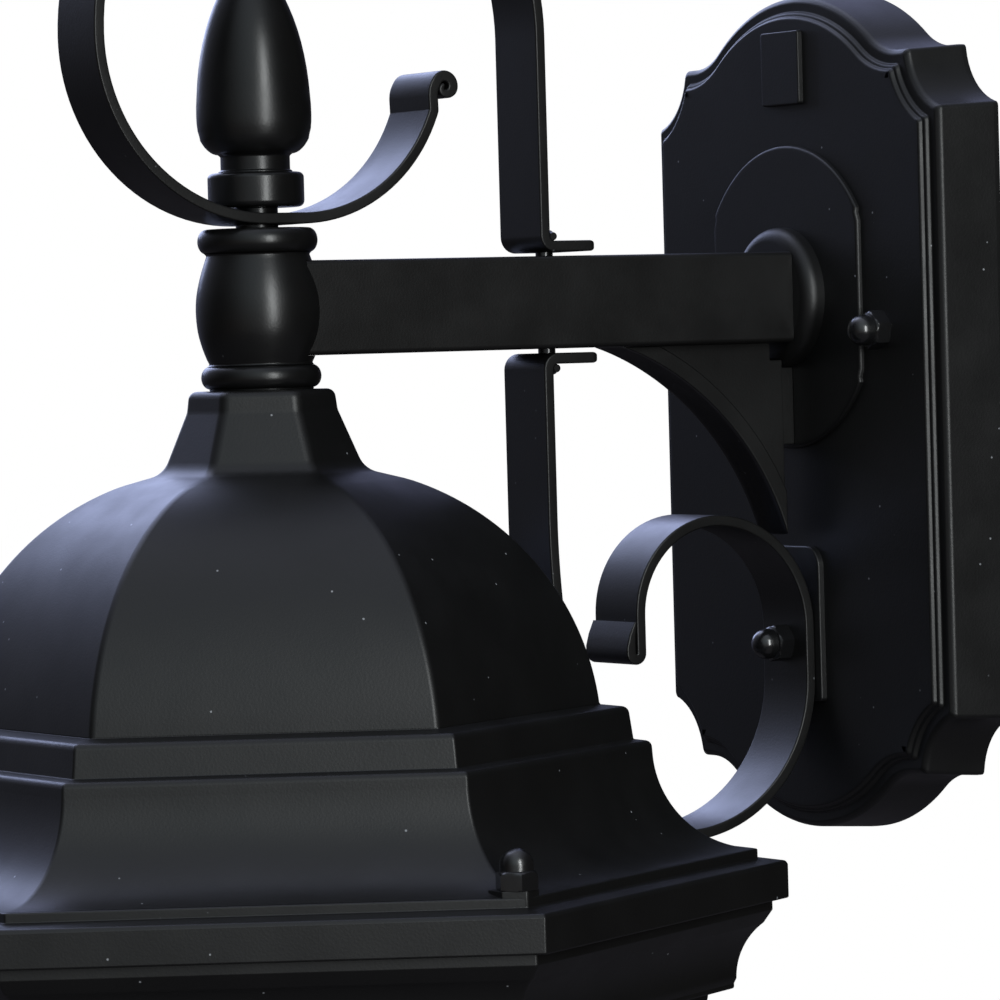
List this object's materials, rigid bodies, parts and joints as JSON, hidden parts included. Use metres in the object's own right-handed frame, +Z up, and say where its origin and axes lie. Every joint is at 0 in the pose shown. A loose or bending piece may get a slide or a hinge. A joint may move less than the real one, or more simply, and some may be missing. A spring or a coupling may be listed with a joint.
{
  "type": "hanging wall lantern",
  "caption": "Six-sided black lantern with a domed roof, hung from a square wall arm with two flat-bar scrolls and an arched wall plate.",
  "frame": {"origin": "on the wall plane, midway between the two screw slots of the mounting strap", "axes": "+Z up, the wall is the plane y = 0 and the lantern stands out towards -Y, x = 0 is the plane of the scrolls"},
  "size_m": [0.2756, 0.3131, 0.572],
  "materials": {
    "black_casting": "satin black powder coat",
    "black_steel": "satin black powder coat on steel bar and tube",
    "black_turned": "semi-gloss black on turned metal",
    "black_fastener": "black coated fastener",
    "zinc_steel": "zinc plated",
    "green_screw": "green earth screw",
    "porcelain": "glazed porcelain",
    "brass": "plain brass sheet",
    "bulb_glass": "frosted bulb",
    "clear_glass": "clear flat glass"
  },
  "bodies": {
    "root": {"wall_plate": "black_casting", "mounting_strap": "zinc_steel", "plate_studs": "zinc_steel", "plate_cap_nuts": "black_fastener", "earth_screw": "green_screw", "arm_tube": "black_steel", "arm_gusset": "black_steel", "upper_scroll": "black_steel", "lower_scroll": "black_steel", "foot_rivets": "black_fastener", "scroll_stud": "zinc_steel", "scroll_cap_nut": "black_fastener", "finial": "black_turned", "spindle_barrel": "black_turned", "threaded_tube": "zinc_steel", "lock_nut": "zinc_steel", "lock_washer": "zinc_steel", "roof": "black_casting", "roof_studs": "zinc_steel", "roof_cap_nuts": "black_fastener", "cage_frame": "black_casting", "pane_1": "clear_glass", "pane_2": "clear_glass", "pane_3": "clear_glass", "pane_4": "clear_glass", "pane_5": "clear_glass", "pane_6": "clear_glass", "pane_clips": "zinc_steel", "clip_screws": "zinc_steel", "bottom_pan": "black_casting", "pan_screws": "black_fastener", "bottom_finial": "black_turned", "finial_stud": "zinc_steel", "finial_nut": "zinc_steel", "socket_cup": "black_steel", "lamp_socket": "porcelain", "socket_shell": "brass", "centre_contact": "brass", "bulb": "bulb_glass"}
  },
  "joints": []
}
